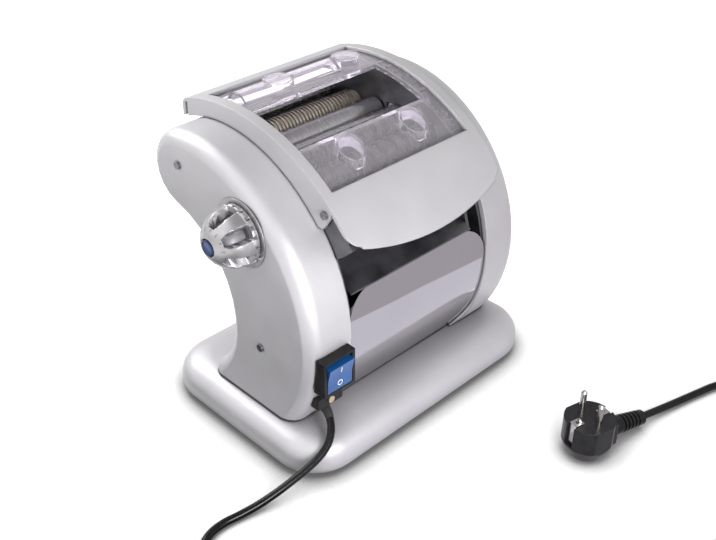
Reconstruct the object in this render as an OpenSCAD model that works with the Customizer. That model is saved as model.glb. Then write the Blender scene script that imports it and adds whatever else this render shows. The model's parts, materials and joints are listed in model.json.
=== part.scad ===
// Electric pasta maker: two side housings on a base, a hood with a clear guard,
// one pair of sheet rollers, two pairs of cutters, a gear train and a motor.
// X runs along the rollers, the front faces -Y, Z points up from the floor.

/* [Base] */
// How far the base reaches past the housings at each side
base_side = 15; // [10:1:30]
// Depth of the base
base_d = 182; // [175:1:230]
// Height of the base
base_h = 30; // [26:1:36]
// Corner radius of the base in plan
base_corner = 36; // [28:1:45]
// Height of the rubber feet below the base
foot_h = 3; // [2:0.5:5]

/* [Housings] */
// Width of the bay between the housings
bay_w = 151; // [140:1:180]
// Width of each side housing
housing_w = 39; // [37:1:50]
// Radius of the drum that the housings follow
drum_r = 126; // [124:1:134]
// Radius of the nose at the back of the drum
nose_r = 32; // [28:1:36]
// Radius of the rounded outer edge of a housing
edge_r = 12; // [8:1:14]
// Wall of a housing
housing_wall = 4; // [3:0.5:5]

/* [Hood and guard] */
// Radius of the hood across its top
hood_r = 158.7; // [156:0.1:164]
// Wall of the hood
hood_wall = 3; // [2:0.5:3.5]
// Width of the window in the hood
window_w = 140; // [120:1:142]
// Wall of the clear guard
guard_wall = 2.5; // [2:0.5:3]

/* [Rollers] */
// Radius of a sheet roller
plain_r = 10.2; // [9:0.1:10.3]
// Radius of a fine cutter over its discs
fine_r = 10.5; // [9.5:0.1:10.8]
// Radius of a wide cutter over its discs
wide_r = 10; // [9:0.1:10.2]
// Radius of every roller shaft
shaft_r = 4; // [3:0.25:4.5]
// Pitch of the discs of the fine cutter
fine_pitch = 3.4; // [3:0.1:5]
// Pitch of the discs of the wide cutter
wide_pitch = 12.4; // [11:0.1:15]
// Travel of the moving sheet roller from widest to closest
gap_travel = 2.2; // [1:0.1:2.4]
// Module of the teeth of the drive train
drive_module = 1.4; // [1.2:0.1:1.4]

/* [Knob and switch] */
// Radius of the knob at its foot
knob_r = 23; // [18:0.5:26]
// Height of the knob from the housing
knob_h = 30; // [24:1:36]
// Width and height of the switch bezel
bezel_size = 30; // [26:1:31]
// Depth that the bezel stands proud of the housing
bezel_proud = 9; // [5:0.5:10]
// Diameter of the mains cord
cord_d = 6; // [5:0.5:7]

/* [Hidden] */

// Clearances
seat_gap = 0.3;      // between covers and what they sit on
run_gap = 0.05;      // radial, a shaft in its bush
fit_gap = 0.02;      // radial, parts that turn together
slide_gap = 0.3;     // all round the carriage blocks
flank_gap = 0.3;     // taken off the thickness of every gear tooth
mesh_gap = 0.4;      // between two closed sheet rollers

base_w = bay_w + 2 * (housing_w + base_side);

// Centre of the whole body in plan, so that the origin lies under its middle
knob_tip = bay_w / 2 + housing_w + knob_h;
hood_back = 101;
middle_x = (base_w / 2 - knob_tip) / 2;
middle_y = (hood_back - base_d / 2) / 2;

// Drum outline in the YZ plane
drum_y = 50;
drum_z = base_h + 75.5;
nose_back = 98;
nose_y = nose_back - nose_r;
nose_z = drum_z + sqrt(pow(drum_r - nose_r, 2) - pow(nose_y - drum_y, 2));
waist_front = 15.5;
waist_z = base_h + 65;
waist_k = waist_front - nose_y;
waist_r = (pow(waist_k, 2) + pow(nose_z - waist_z, 2) - pow(nose_r, 2)) / (2 * (nose_r - waist_k));
waist_y = waist_front + waist_r;
heel_y = 44;
seat_z = base_h + 0.5;      // top of the base under the housings
top_angle = atan2(nose_z - drum_z, nose_y - drum_y);
neck_angle = atan2(nose_z - waist_z, nose_y - waist_y);

// Stack of plates and gears along X: [start, end] of each
bay = bay_w / 2;
side_x = bay + housing_w;
left_plate = [-bay + 0.5, -bay + 4.5];
adjuster_x = [-bay - 16.5, -bay - 14.5];
right_plate = [bay - 17, bay - 14];
cover_plate = [bay - 2.5, bay - 0.5];
flange = 0.8;                                   // bush flanges, on the roller side of each plate
barrel = [left_plate[1] + flange + 0.4, right_plate[0] - flange - 0.4];
gear_a = [right_plate[1] + 0.4, right_plate[1] + 3.6];
gear_c = [gear_a[1] + 0.4, gear_a[1] + 3.6];
gear_b = [gear_c[1] + 0.4, cover_plate[0] - 0.4];
shaft_left = left_plate[0] - 0.2;

// Roller centres in the YZ plane
roller_z = drum_z + drum_r - 25.5;
close_cc = 2 * plain_r + mesh_gap;
fixed_c = [33.6, roller_z];
moving_c = fixed_c - [close_cc + gap_travel, 0];
fine_cc = 2 * fine_r - 0.8;
wide_cc = 2 * wide_r - 0.8;
drive_teeth = 17;
drive_cc = drive_module * drive_teeth;
fine_front_c = fixed_c + [drive_cc, 0];
fine_rear_c = fine_front_c + fine_cc * [cos(-37), sin(-37)];
wide_rear_c = moving_c + (plain_r + wide_r + 0.6) * [cos(157.4), sin(157.4)];
wide_front_c = wide_rear_c + wide_cc * [cos(211), sin(211)];
pair_teeth = 14;
main_teeth = 31;
pinion_teeth = 11;
main_c = fixed_c + drive_module * (drive_teeth + main_teeth) / 2 * [cos(250), sin(250)];
idler_reach = norm(wide_front_c - main_c) / drive_module - (main_teeth + drive_teeth) / 2;
idler_teeth = max(drive_teeth, ceil(idler_reach + 0.5));
idler_c = meet(
    main_c, drive_module * (main_teeth + idler_teeth) / 2,
    wide_front_c, drive_module * (idler_teeth + drive_teeth) / 2
);
pinion_at = 250;
pinion_c = main_c + drive_module * (main_teeth + pinion_teeth) / 2 * [cos(pinion_at), sin(pinion_at)];
toothed = barrel[1] - barrel[0] - 6;    // length of the cutting zone
toothed_x = barrel[0] + 3;
bush_r = shaft_r + 2.5;

// Knob and adjuster
knob_c = [-7, roller_z - 26];
spindle_r = 4;
cam_r = 6;
cam_x = [-bay - 8.5, -bay - 4.5];
cam_turn = 280;         // turn of the knob over which the cam rises

// Switch and cord clamp
switch_x = 0.5 - bay - housing_w / 2;
switch_z = drum_z - 17.5;
rocker_w = bezel_size - 6;
rocker_h = bezel_size - 5;
rocker_gap = 0.4;
clamp_z = drum_z - 47.5;
face_y = drum_y - sqrt(pow(drum_r, 2) - pow(drum_z - switch_z, 2));
clamp_y = drum_y - sqrt(pow(drum_r, 2) - pow(drum_z - clamp_z, 2));
cord_r = cord_d / 2;

// Where the two curves of a triangle meet, on the lower side
function meet(a, ra, b, rb) =
    let (d = norm(b - a), t = (b - a) / d, p = (ra * ra - rb * rb + d * d) / (2 * d))
    a + p * t + sqrt(ra * ra - p * p) * [-t[1], t[0]];

// Points of an arc, from angle a0 to a1 in n steps
function arc(c, r, a0, a1, n) =
    [for (i = [0:n]) let (a = a0 + (a1 - a0) * i / n) c + r * [cos(a), sin(a)]];

// Side outline of the housings, drawn in by d, with its foot at height low
function outline(d = 0, low = seat_z, fine = 1) = let (
    w = waist_r + d,
    heel = min(acos((waist_y - heel_y + d) / w), asin((waist_z - low) / w) - 0.5)
) concat(
    arc([drum_y, drum_z], drum_r - d, top_angle, 180 + asin((drum_z - low) / (drum_r - d)), 26 * fine),
    [[heel_y - d, low]],
    arc([waist_y, waist_z], w, 180 + heel, neck_angle, 12 * fine),
    [for (i = [1:8 * fine - 1]) let (a = neck_angle - 180 + (top_angle - neck_angle + 180) * i / (8 * fine))
        [nose_y, nose_z] + (nose_r - d) * [cos(a), sin(a)]]
);

// Rectangle with round corners, as points
function slab(w, d, r, n = 8) = concat(
    arc([w / 2 - r, d / 2 - r], r, 0, 90, n), arc([r - w / 2, d / 2 - r], r, 90, 180, n),
    arc([r - w / 2, r - d / 2], r, 180, 270, n), arc([w / 2 - r, r - d / 2], r, 270, 360, n)
);

// Closed solid through rings of points that all have the same count
module loft(rings) {
    n = len(rings[0]);
    m = len(rings);
    polyhedron(
        [for (ring = rings) each ring],
        concat(
            [[for (i = [0:n - 1]) i]],
            [for (j = [0:m - 2], i = [0:n - 1]) [j * n + i, (j + 1) * n + i, (j + 1) * n + (i + 1) % n]],
            [for (j = [0:m - 2], i = [0:n - 1]) [j * n + i, (j + 1) * n + (i + 1) % n, j * n + (i + 1) % n]],
            [[for (i = [n - 1:-1:0]) (m - 1) * n + i]]
        )
    );
}

// Children drawn in Y and Z, extruded from x0 to x1
module along_x(x0, x1) {
    translate([x0, 0, 0]) rotate([90, 0, 90]) linear_extrude(x1 - x0) children();
}

// Cylinder along X at a centre in Y and Z
module rod_x(c, r, x0, x1) {
    translate([x0, c[0], c[1]]) rotate([0, 90, 0]) cylinder(r = r, h = x1 - x0, $fn = 48);
}

// Cylinder along Y at a centre in X and Z
module rod_y(c, r, y0, y1) {
    translate([c[0], y1, c[1]]) rotate([90, 0, 0]) cylinder(r = r, h = y1 - y0, $fn = 48);
}

// Turned part along X from points given as [radius, x]
module turned(c, points) {
    translate([0, c[0], c[1]]) rotate([0, 90, 0]) rotate_extrude($fn = 64) polygon(points);
}

// Pan head screw with its axis along X, head outwards
module screw_x(c, x, out, long = 7) {
    translate([x, c[0], c[1]]) rotate([0, out * 90, 0]) {
        cylinder(r = 3, h = 1.8, $fn = 24);
        translate([0, 0, -long]) cylinder(r = 1.5, h = long, $fn = 24);
    }
}

// Body of the base without its cavity
module base_form() {
    loft([for (s = [[3, foot_h], [0.8, foot_h + 2], [0, foot_h + 5], [0, base_h - 15], [1.2, base_h - 10],
            [4, base_h - 5.5], [9, base_h - 1.8], [16, base_h], [24, base_h + 0.5]])
        [for (p = slab(base_w - 2 * s[0], base_d - 2 * s[0], max(base_corner - s[0], 6))) [p[0], p[1], s[1]]]]);
}

base_bolts = [for (sx = [-1, 1], sy = [-1, 1]) [sx * (base_w / 2 - 30), sy * (base_d / 2 - 30)]];
module base_shell() {
    color("silver") {
        base_hollow();
        for (c = base_bolts) translate([c[0], c[1], 0]) difference() {
            translate([0, 0, foot_h + 2]) cylinder(r = 5, h = base_h - foot_h - 5, $fn = 32);
            cylinder(r = 2, h = foot_h + 12, $fn = 24);
        }
    }
}

module base_hollow() {
    difference() {
        base_form();
        translate([0, 0, foot_h + 2]) linear_extrude(base_h - foot_h - 16)
            polygon(slab(base_w - 12, base_d - 12, base_corner - 6));
        translate([0, 0, base_h - 14.5]) linear_extrude(10.5)
            polygon(slab(base_w - 36, base_d - 36, base_corner - 16));
        translate([0, 0, foot_h - 1]) linear_extrude(4)
            polygon(slab(base_w - 18, base_d - 18, base_corner - 9));
        for (x = foot_x, y = [-30, 16]) translate([x, y, base_h - 6]) cylinder(r = 2.1, h = 8, $fn = 24);
    }
}

// Steel plate that closes the base from below
module base_plate() {
    color("dimgray") difference() {
        translate([0, 0, foot_h + 0.5]) linear_extrude(1.5)
            polygon(slab(base_w - 19, base_d - 19, base_corner - 9.5));
        for (c = base_bolts) translate([c[0], c[1], 0]) cylinder(r = 2.1, h = base_h / 2, $fn = 24);
    }
}

module rubber_feet() {
    color("black") for (sx = [-1, 1], sy = [-1, 1])
        translate([sx * (base_w / 2 - 46), sy * (base_d / 2 - 28), 0]) {
            cylinder(r1 = 9, r2 = 10, h = foot_h + 0.5, $fn = 32);
        }
}

module base_screws() {
    color("gray") for (c = base_bolts) translate([c[0], c[1], foot_h - 1.5]) {
        cylinder(r = 4, h = 2, $fn = 24);
        translate([0, 0, 2]) cylinder(r = 2, h = 9, $fn = 24);
    }
}

// Shell of one housing on the +X side: band, rounded edge, side face and open inner side
module housing_form() {
    steps = [for (a = [0:18:72]) [side_x - edge_r + edge_r * sin(a), edge_r * (1 - cos(a))]];
    intersection() {
        loft([for (s = concat([[bay - 3, 0]], steps, [[side_x + 2, 1.35 * edge_r]]))
            [for (p = outline(s[1])) [s[0], p[0], p[1]]]]);
        translate([bay, -200, 0]) cube([housing_w, 400, 300]);
    }
}

// Thin ear at the foot of a housing, in front of the polished panel
ear_top = seat_z + 35;
ear_r = 57;
module ear() {
    difference() {
        along_x(bay - 14, bay + 1) intersection() {
            difference() {
                polygon(outline(0.4));
                polygon(outline(2.2, seat_z - 5));
            }
            translate([drum_y - drum_r, seat_z]) square([60, ear_top - seat_z]);
        }
        rod_y([bay - ear_r, ear_top], ear_r, -200, 0);
    }
}

inner_side = side_x - edge_r / 2 - 0.5;
module housing_shell(bosses) {
    difference() {
        union() {
            difference() {
                housing_form();
                along_x(bay - 1, inner_side) polygon(outline(housing_wall + 0.5, seat_z - 6));
            }
            for (c = side_screws) rod_x(c, 5, bosses, inner_side + 1);
            ear();
        }
        for (c = side_screws) rod_x(c, 1.7, bay - 1, side_x + 1);
    }
}

// Screw places on the side faces
side_screws = [[62, nose_z + 9], [-21, drum_z - 17.5]];

module left_housing() {
    color("silver") difference() {
        mirror([1, 0, 0]) housing_shell(-adjuster_x[0] + seat_gap);
        rod_x(knob_c, spindle_r + 2, -side_x - 1, -side_x + edge_r);
        translate([switch_x - rocker_w / 2 - 1, face_y - 12, switch_z - rocker_h / 2 - 1])
            cube([rocker_w + 2, 30, rocker_h + 2]);
        rod_y([switch_x, clamp_z - 8.6], cord_r + 2, clamp_y - 12, clamp_y + 14);
        rod_y([switch_x, clamp_z + 1], 1.7, clamp_y - 12, clamp_y + 14);
    }
}

module right_housing() {
    color("silver") housing_shell(cover_plate[1] + seat_gap);
}

module housing_screws() {
    color("gray") for (c = side_screws) {
        screw_x(c, -side_x, -1, side_x + adjuster_x[1]);
        screw_x(c, side_x, 1, side_x - cover_plate[0]);
    }
}

// Window in each plate for the carriage blocks
block_y = [moving_c[0] - 8, moving_c[0] + 8];
block_z = [roller_z - 20, roller_z + 9];
bar_c = [moving_c[0] - 6.5, roller_z - 15.5];
bar_r = 4;
rod_places = [[-50, drum_z + 29.5], [-38, seat_z + 17.5], [10, seat_z + 17.5], [82, nose_z + 12]];
fixed_shafts = [fixed_c, fine_front_c, fine_rear_c, wide_rear_c, wide_front_c];
pin_places = [main_c, idler_c];
pin_r = 3;
panel_gap = 4.6;        // the plates lie this far inside the outline, behind the panels

// Side plate: the drum outline with a head that rises under the hood
module plate_form(x) {
    along_x(x[0], x[1]) union() {
        polygon(outline(panel_gap));
        intersection() {
            translate([hood_y, hood_z]) circle(r = guard_r - guard_wall - seat_gap, $fn = 240);
            translate([0, roller_z]) polygon([[-80, -24.5], [-67, -37], [-56, -44], [-40, -56], [20, -56], [74, -16],
                [74, 94], [-80, 94]]);
        }
    }
}

module slide_window(x) {
    translate([x[0] - 1, block_y[0] - slide_gap, block_z[0] - slide_gap])
        cube([x[1] - x[0] + 2, 16 + gap_travel + 2 * slide_gap, block_z[1] - block_z[0] + 2 * slide_gap]);
}

// Foot that is bent inwards from a side plate, with two holes for screws from below
module foot(x0, x1) {
    difference() {
        translate([x0, -40, seat_z]) cube([x1 - x0, 66, 3]);
        for (y = [-30, 16]) translate([(x0 + x1) / 2, y, base_h - 5]) cylinder(r = 2, h = 10, $fn = 24);
    }
}

module left_frame_plate() {
    color("gray") {
        difference() {
            plate_form(left_plate);
            for (c = fixed_shafts) rod_x(c, bush_r, -side_x, 0);
            for (c = rod_places) rod_x(c, 2.6, -side_x, 0);
            rod_x(knob_c, spindle_r + run_gap, -side_x, 0);
            rod_x(hood_screw, 1.5, -side_x, 0);
            slide_window(left_plate);
        }
        foot(left_plate[1], left_plate[1] + 16);
    }
}

module right_frame_plate() {
    color("gray") {
        difference() {
            plate_form(right_plate);
            for (c = fixed_shafts) rod_x(c, bush_r, 0, side_x);
            for (c = rod_places) rod_x(c, 2.6, 0, side_x);
            for (c = pin_places) rod_x(c, pin_r, 0, side_x);
            rod_x(pinion_c, shaft_r + 2, 0, side_x);
            slide_window(right_plate);
        }
        foot(right_plate[0] - 16, right_plate[0]);
    }
}

// Outer plate of the gear case
module gear_plate() {
    color("gray") difference() {
        plate_form(cover_plate);
        for (c = concat(rod_places)) rod_x(c, 2.6, 0, side_x);
        for (c = pin_places) rod_x(c, pin_r, 0, side_x);
        for (c = side_screws) rod_x(c, 1.5, 0, side_x);
        rod_x(hood_screw, 1.5, 0, side_x);
    }
}

// Plate inside the left housing that steadies the knob spindle
module adjuster_plate() {
    color("gray") difference() {
        along_x(adjuster_x[0], adjuster_x[1]) difference() {
            polygon(outline(9, seat_z + 9));
            translate([-90, 30]) square([45, switch_z + 16 - 30]);
        }
        for (c = rod_places) rod_x(c, 2.6, -side_x, 0);
        for (c = side_screws) rod_x(c, 1.5, -side_x, 0);
        rod_x(knob_c, spindle_r + run_gap, -side_x, 0);
    }
}

// Stepped rods that hold all four plates apart
module tie_rods() {
    color("lightgray") for (c = rod_places) {
        rod_x(c, 2.6, adjuster_x[0] - 3, cover_plate[1] + 3);
        rod_x(c, 4, adjuster_x[1], left_plate[0]);
        rod_x(c, 4, left_plate[1], right_plate[0]);
        rod_x(c, 4, right_plate[1], cover_plate[0]);
    }
}

// Screws that hold the feet of the plates to the base
foot_x = [left_plate[1] + 8, right_plate[0] - 8];
module frame_screws() {
    color("gray") for (x = foot_x, y = [-30, 16]) translate([x, y, base_h - 4]) {
        cylinder(r = 2, h = 8, $fn = 24);
        translate([0, 0, -2]) cylinder(r = 4, h = 2, $fn = 24);
    }
}

// Polished panel between the housings, below the pasta outlet
panel_seam = 1;         // open seam at each side of the panel
panel_top = roller_z - 69;
panel_front = drum_y - sqrt(pow(drum_r, 2) - pow(panel_top - drum_z, 2));
module front_panel() {
    color("lightgray") intersection() {
        along_x(panel_seam - bay, bay - panel_seam) intersection() {
            difference() {
                translate([drum_y, drum_z]) circle(r = drum_r - 2.5, $fn = 180);
                translate([drum_y, drum_z]) circle(r = drum_r - 4.3, $fn = 180);
            }
            translate([drum_y - drum_r, seat_z]) square([60, panel_top - seat_z]);
        }
        rotate([90, 0, 0]) linear_extrude(drum_r) polygon(concat(
            arc([bay - 26, panel_top - 25], 25, 0, 90, 8), arc([26 - bay, panel_top - 25], 25, 90, 180, 8),
            [[-bay, 0], [bay, 0]]));
    }
}

// Painted panel between the housings at the back, from under the hood to the base
module rear_panel() {
    color("silver") along_x(-bay + seat_gap, bay - seat_gap) intersection() {
        difference() {
            polygon(outline(0.6));
            polygon(outline(panel_gap - seat_gap, seat_z - 5));
        }
        polygon([[5, seat_z], [150, seat_z], [150, roller_z + 90], [84, roller_z + 90], [84, roller_z - 21],
            [5, roller_z - 21]]);
    }
}

// Sloping sheet that leads the cut dough to the gap above the front panel
module outlet_chute() {
    front = panel_front + 1;
    color("lightgray") along_x(left_plate[1] + seat_gap, right_plate[0] - seat_gap)
        translate([0, panel_top]) polygon([[60, 36], [20, 28], [-20, 24], [front + 5, 4.2], [front, 1.8], [front, 0.5],
            [front + 5, 2.7], [-20, 22.6], [20, 26.6], [60, 34.5]]);
}

// Hood: a shell on a long arc, with side walls that stand on the housings
hood_y = 45.8;
hood_z = roller_z - 118.8;
hood_x = bay + 3.5;
skirt_front = -60;
window_y = [-52, 80];
lip_z = roller_z - 35.6;
lip_arch = 245;
hood_screw = [-54, roller_z - 7];

module hood_disc(d) {
    translate([hood_y, hood_z]) circle(r = hood_r - d, $fn = 240);
}

// What is taken off a lower corner of the lip to round it
lip_round = 9;
module lip_corner(s) {
    low = lip_z + lip_arch - sqrt(pow(lip_arch, 2) - pow(hood_x, 2));
    translate([s * hood_x, 0, low - 1]) rotate([90, 0, 0]) translate([0, 0, 62]) linear_extrude(90) difference() {
        square(2 * lip_round, center = true);
        translate([-s * lip_round, lip_round]) circle(r = lip_round, $fn = 48);
    }
}

// What is taken off along the upper rear edge
rear_r = 8;
module rear_round() {
    y = hood_back - rear_r + 0.05;
    z = hood_z + sqrt(pow(hood_r - rear_r + 0.05, 2) - pow(y - hood_y, 2));
    k = [y - hood_y, z - hood_z] / norm([y - hood_y, z - hood_z]);
    along_x(-hood_x - 1, hood_x + 1) difference() {
        translate([y, z]) polygon([[0, 0], 14 * k, [20, 14], [20, 0]]);
        translate([y, z]) circle(r = rear_r, $fn = 48);
    }
}

module hood() {
    color("silver") difference() {
        union() {
            along_x(-hood_x, hood_x) intersection() {
                difference() {
                    hood_disc(0);
                    hood_disc(hood_wall);
                }
                polygon([[-150, lip_z - 3], [-40, lip_z - 3], [20, roller_z - 6], [hood_back, roller_z - 6],
                    [hood_back, roller_z + 94], [-150, roller_z + 94]]);
            }
            for (s = [-1, 1]) along_x(s > 0 ? hood_x - hood_wall : -hood_x, s > 0 ? hood_x : hood_wall - hood_x)
                difference() {
                    intersection() {
                        hood_disc(0.5);
                        polygon([[-52, roller_z - 19], [hood_back - 6, roller_z - 19], [hood_back - 6, roller_z + 94],
                            [skirt_front, roller_z + 94], [skirt_front, roller_z - 7]]);
                    }
                    translate([drum_y, drum_z]) circle(r = drum_r + seat_gap, $fn = 240);
                }
            along_x(-hood_x, hood_x) intersection() {
                difference() {
                    hood_disc(0.5);
                    translate([drum_y, drum_z]) circle(r = drum_r + 1.5, $fn = 240);
                }
                translate([hood_back - hood_wall, roller_z - 1]) square([hood_wall, 80]);
            }
        }
        translate([-window_w / 2, window_y[0], roller_z - 16]) cube([window_w, window_y[1] - window_y[0], 100]);
        // arched lower edge of the lip
        difference() {
            translate([-hood_x - 1, -140, lip_z - 10]) cube([2 * hood_x + 2, 90, 26]);
            rod_y([0, lip_z + lip_arch], lip_arch, -141, -49);
        }
        for (s = [-1, 1]) lip_corner(s);
        rear_round();
        for (s = [-1, 1]) rod_x(hood_screw, 1.7, s > 0 ? hood_x - 8 : -hood_x - 1, s > 0 ? hood_x + 1 : 8 - hood_x);
    }
}

module hood_screws() {
    color("gray") for (s = [-1, 1]) screw_x(hood_screw, s * hood_x, s);
}

// Clear guard under the window, with a rimmed feed opening, ribs, cups and a hollow ridge
guard_r = hood_r - hood_wall - seat_gap;
feed_x = [1 - window_w / 2, window_w / 2 - 12];
feed_y = [-17, 34];
cup_places = [[-22, 57, 12], [46, 56, 11], [-34, -33, 11], [30, -33, 11]];

feed_rim = 1.2;         // height of the rim round the feed opening
ridge_x = [-62, 33];
ridge_y = 57;
ridge_r = 11;
ridge_h = 8;
ridge_z = hood_z + sqrt(pow(guard_r, 2) - pow(ridge_y - hood_y, 2)) - 5;

module guard_ring(h) {
    difference() {
        translate([hood_y, hood_z]) circle(r = guard_r + h, $fn = 240);
        guard_disc(guard_wall / 2);
    }
}

module guard_disc(d) {
    translate([hood_y, hood_z]) circle(r = guard_r - d, $fn = 240);
}

module clear_guard() {
    guard_x = hood_x - hood_wall - seat_gap;
    color("whitesmoke", 0.4) difference() {
        union() {
            along_x(-guard_x, guard_x) intersection() {
                difference() {
                    guard_disc(0);
                    guard_disc(guard_wall);
                }
                translate([window_y[0] - 4, roller_z - 16]) square([window_y[1] - window_y[0] + 8, 80]);
            }
            along_x(feed_x[0], feed_x[1] + 4) intersection() {
                guard_ring(feed_rim);
                union() {
                    translate([feed_y[0] - 3, roller_z - 16]) square([3, 80]);
                    translate([feed_y[1], roller_z - 16]) square([3, 80]);
                }
            }
            along_x(feed_x[1], feed_x[1] + 2) intersection() {
                guard_ring(feed_rim);
                translate([feed_y[0] - 3, roller_z - 16]) square([feed_y[1] - feed_y[0] + 6, 80]);
            }
            for (y = [feed_y[0] + 6:9:feed_y[1]]) along_x(feed_x[1] + 4, feed_x[1] + 10) intersection() {
                guard_ring(feed_rim);
                translate([y, roller_z - 16]) square([2, 80]);
            }
            along_x(ridge_x[0], ridge_x[1]) intersection() {
                guard_ring(ridge_h);
                translate([ridge_y, ridge_z]) circle(r = ridge_r, $fn = 48);
            }
            for (c = cup_places) intersection() {
                translate([c[0], c[1], roller_z + 9]) cylinder(r = c[2], h = 40, $fn = 48);
                along_x(-guard_x, guard_x) difference() {
                    translate([hood_y, hood_z]) circle(r = guard_r + 6, $fn = 240);
                    guard_disc(guard_wall / 2);
                }
            }
        }
        along_x(ridge_x[0] + 2, ridge_x[1] - 2) translate([ridge_y, ridge_z]) circle(r = ridge_r - 2, $fn = 48);
        for (c = cup_places) intersection() {
            translate([c[0], c[1], roller_z - 6]) cylinder(r = c[2] - 2, h = 60, $fn = 48);
            along_x(-guard_x, guard_x) translate([hood_y, hood_z]) circle(r = guard_r + 4, $fn = 240);
        }
        translate([feed_x[0], feed_y[0], roller_z - 16]) cube([feed_x[1] - feed_x[0], feed_y[1] - feed_y[0], 80]);
    }
}

// Sheet rollers
module plain_barrel(c, right) {
    turned(c, [[0, shaft_left], [shaft_r, shaft_left], [shaft_r, barrel[0]], [plain_r, barrel[0]],
        [plain_r, barrel[1]], [shaft_r, barrel[1]], [shaft_r, right], [0, right]]);
}

module fixed_roller() {
    color("lightgray") plain_barrel(fixed_c, gear_b[1]);
}

module moving_roller() {
    color("lightgray") plain_barrel(moving_c, gear_a[1]);
}

// Outline of a cutter: discs of radius r on a core, shift moves the first disc
function cutter_points(r, core, pitch, disc, shift, right) = let (n = floor((toothed - disc) / pitch - shift)) concat(
    [[0, shaft_left], [shaft_r, shaft_left], [shaft_r, barrel[0]], [core, barrel[0]]],
    [for (i = [0:n], p = [0:3]) let (x = toothed_x + (i + shift) * pitch)
        [p == 0 || p == 3 ? core : r, x + (p < 2 ? 0 : disc)]],
    [[core, barrel[1]], [shaft_r, barrel[1]], [shaft_r, right], [0, right]]
);

fine_disc = fine_pitch / 2 - seat_gap;
wide_disc = wide_pitch / 2 - seat_gap;
fine_core = fine_r - 1.9;
wide_core = wide_r - 2.2;

module fine_cutter_front() {
    color("lightgray") turned(fine_front_c, cutter_points(fine_r, fine_core, fine_pitch, fine_disc, 0, gear_b[1]));
}

module fine_cutter_rear() {
    color("lightgray") turned(fine_rear_c, cutter_points(fine_r, fine_core, fine_pitch, fine_disc, 0.5, gear_c[1]));
}

module wide_cutter_rear() {
    color("lightgray") turned(wide_rear_c, cutter_points(wide_r, wide_core, wide_pitch, wide_disc, 0, gear_c[1]));
}

module wide_cutter_front() {
    color("lightgray") turned(wide_front_c, cutter_points(wide_r, wide_core, wide_pitch, wide_disc, 0.5, gear_b[1]));
}

// Stripper comb below a cutter, its teeth reaching into the grooves between the discs
module comb(c, r, core, pitch, disc, shift, down) {
    tooth = pitch - disc - 2 * seat_gap;
    n = floor((toothed - disc) / pitch - shift);
    reach = r + 4;
    translate([0, c[0], c[1]]) rotate([down, 0, 0]) {
        translate([left_plate[1], -reach - 4, -1]) cube([right_plate[0] - left_plate[1], 4, 2]);
        for (i = [0:n - 1]) translate([toothed_x + (i + shift) * pitch + disc + seat_gap, -reach - 0.5, -1])
            cube([tooth, reach + 0.5 - core - 0.6, 2]);
    }
}

module fine_comb() {
    color("gray") {
        comb(fine_front_c, fine_r, fine_core, fine_pitch, fine_disc, 0, 60);
        comb(fine_rear_c, fine_r, fine_core, fine_pitch, fine_disc, 0.5, 90);
    }
}

module wide_comb() {
    color("gray") {
        comb(wide_rear_c, wide_r, wide_core, wide_pitch, wide_disc, 0, 120);
        comb(wide_front_c, wide_r, wide_core, wide_pitch, wide_disc, 0.5, 90);
    }
}

// Flanged bushes for the shafts that do not move
module roller_bushes() {
    color("goldenrod") for (c = fixed_shafts) difference() {
        union() {
            rod_x(c, bush_r, left_plate[0], left_plate[1]);
            rod_x(c, bush_r + 1, left_plate[1], left_plate[1] + flange);
            rod_x(c, bush_r, right_plate[0], right_plate[1]);
            rod_x(c, bush_r + 1, right_plate[0] - flange, right_plate[0]);
        }
        rod_x(c, shaft_r + run_gap, -side_x, side_x);
    }
}

// Two bearing blocks and the bar that joins them, with the finger that the cam pushes
module roller_carriage() {
    finger_y = knob_c[0] + cam_r + seat_gap;
    color("dimgray") difference() {
        union() {
            translate([left_plate[0] - 1.5, block_y[0], block_z[0]])
                cube([barrel[0] - left_plate[0] + 1.1, 16, block_z[1] - block_z[0]]);
            translate([barrel[1] + 0.4, block_y[0], block_z[0]])
                cube([right_plate[1] - barrel[1] - 0.4, 16, block_z[1] - block_z[0]]);
            rod_x(bar_c, bar_r, barrel[0] - 0.6, barrel[1] + 0.6);
            translate([cam_x[1] + 0.5, finger_y, block_z[0] + 1])
                cube([left_plate[0] - cam_x[1] - 1.5, block_y[1] - finger_y, 8]);
            translate([cam_x[0], finger_y, knob_c[1] - 7])
                cube([cam_x[1] - cam_x[0] + 2, 5, block_z[0] + 9 - knob_c[1] + 7]);
        }
        rod_x(moving_c, shaft_r + run_gap, -side_x, side_x);
    }
}

// Involute angle at radius r for a base circle rb
function involute(rb, r) = let (q = max(r, rb) / rb) sqrt(q * q - 1) * 180 / PI - acos(1 / q);

// Gear outline: n teeth on pitch radius rp, tall and deep from it, flanks thinned by thin
function gear_points(n, rp, tall, deep, thin, phase) =
    let (
        rb = rp * cos(20), ra = rp + tall, rf = rp - deep, low = max(rb, rf),
        half = 90 / n - thin / (2 * rp) * 180 / PI + involute(rb, rp),
        rs = [rf, low, low + (ra - low) / 3, low + (ra - low) * 2 / 3, ra]
    )
    [for (t = [0:n - 1], k = [0:9]) let (i = k < 5 ? k : 9 - k, s = k < 5 ? -1 : 1,
        a = phase + 360 * t / n + s * (half - involute(rb, rs[i]))) rs[i] * [cos(a), sin(a)]];

// Phase of a gear of n2 teeth at c2 that meshes with one of n1 teeth and phase p1 at c1
function mesh(n1, c1, p1, n2, c2) =
    let (a = atan2(c2[1] - c1[1], c2[0] - c1[0])) a + 180 - 360 / n2 * (0.5 - n1 * (a - p1) / 360);

module gear(c, n, rp, tall, deep, phase, bore, x0, x1) {
    along_x(x0, x1) translate(c) difference() {
        polygon(gear_points(n, rp, tall, deep, flank_gap, phase));
        circle(r = bore, $fn = 48);
    }
}

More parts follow.
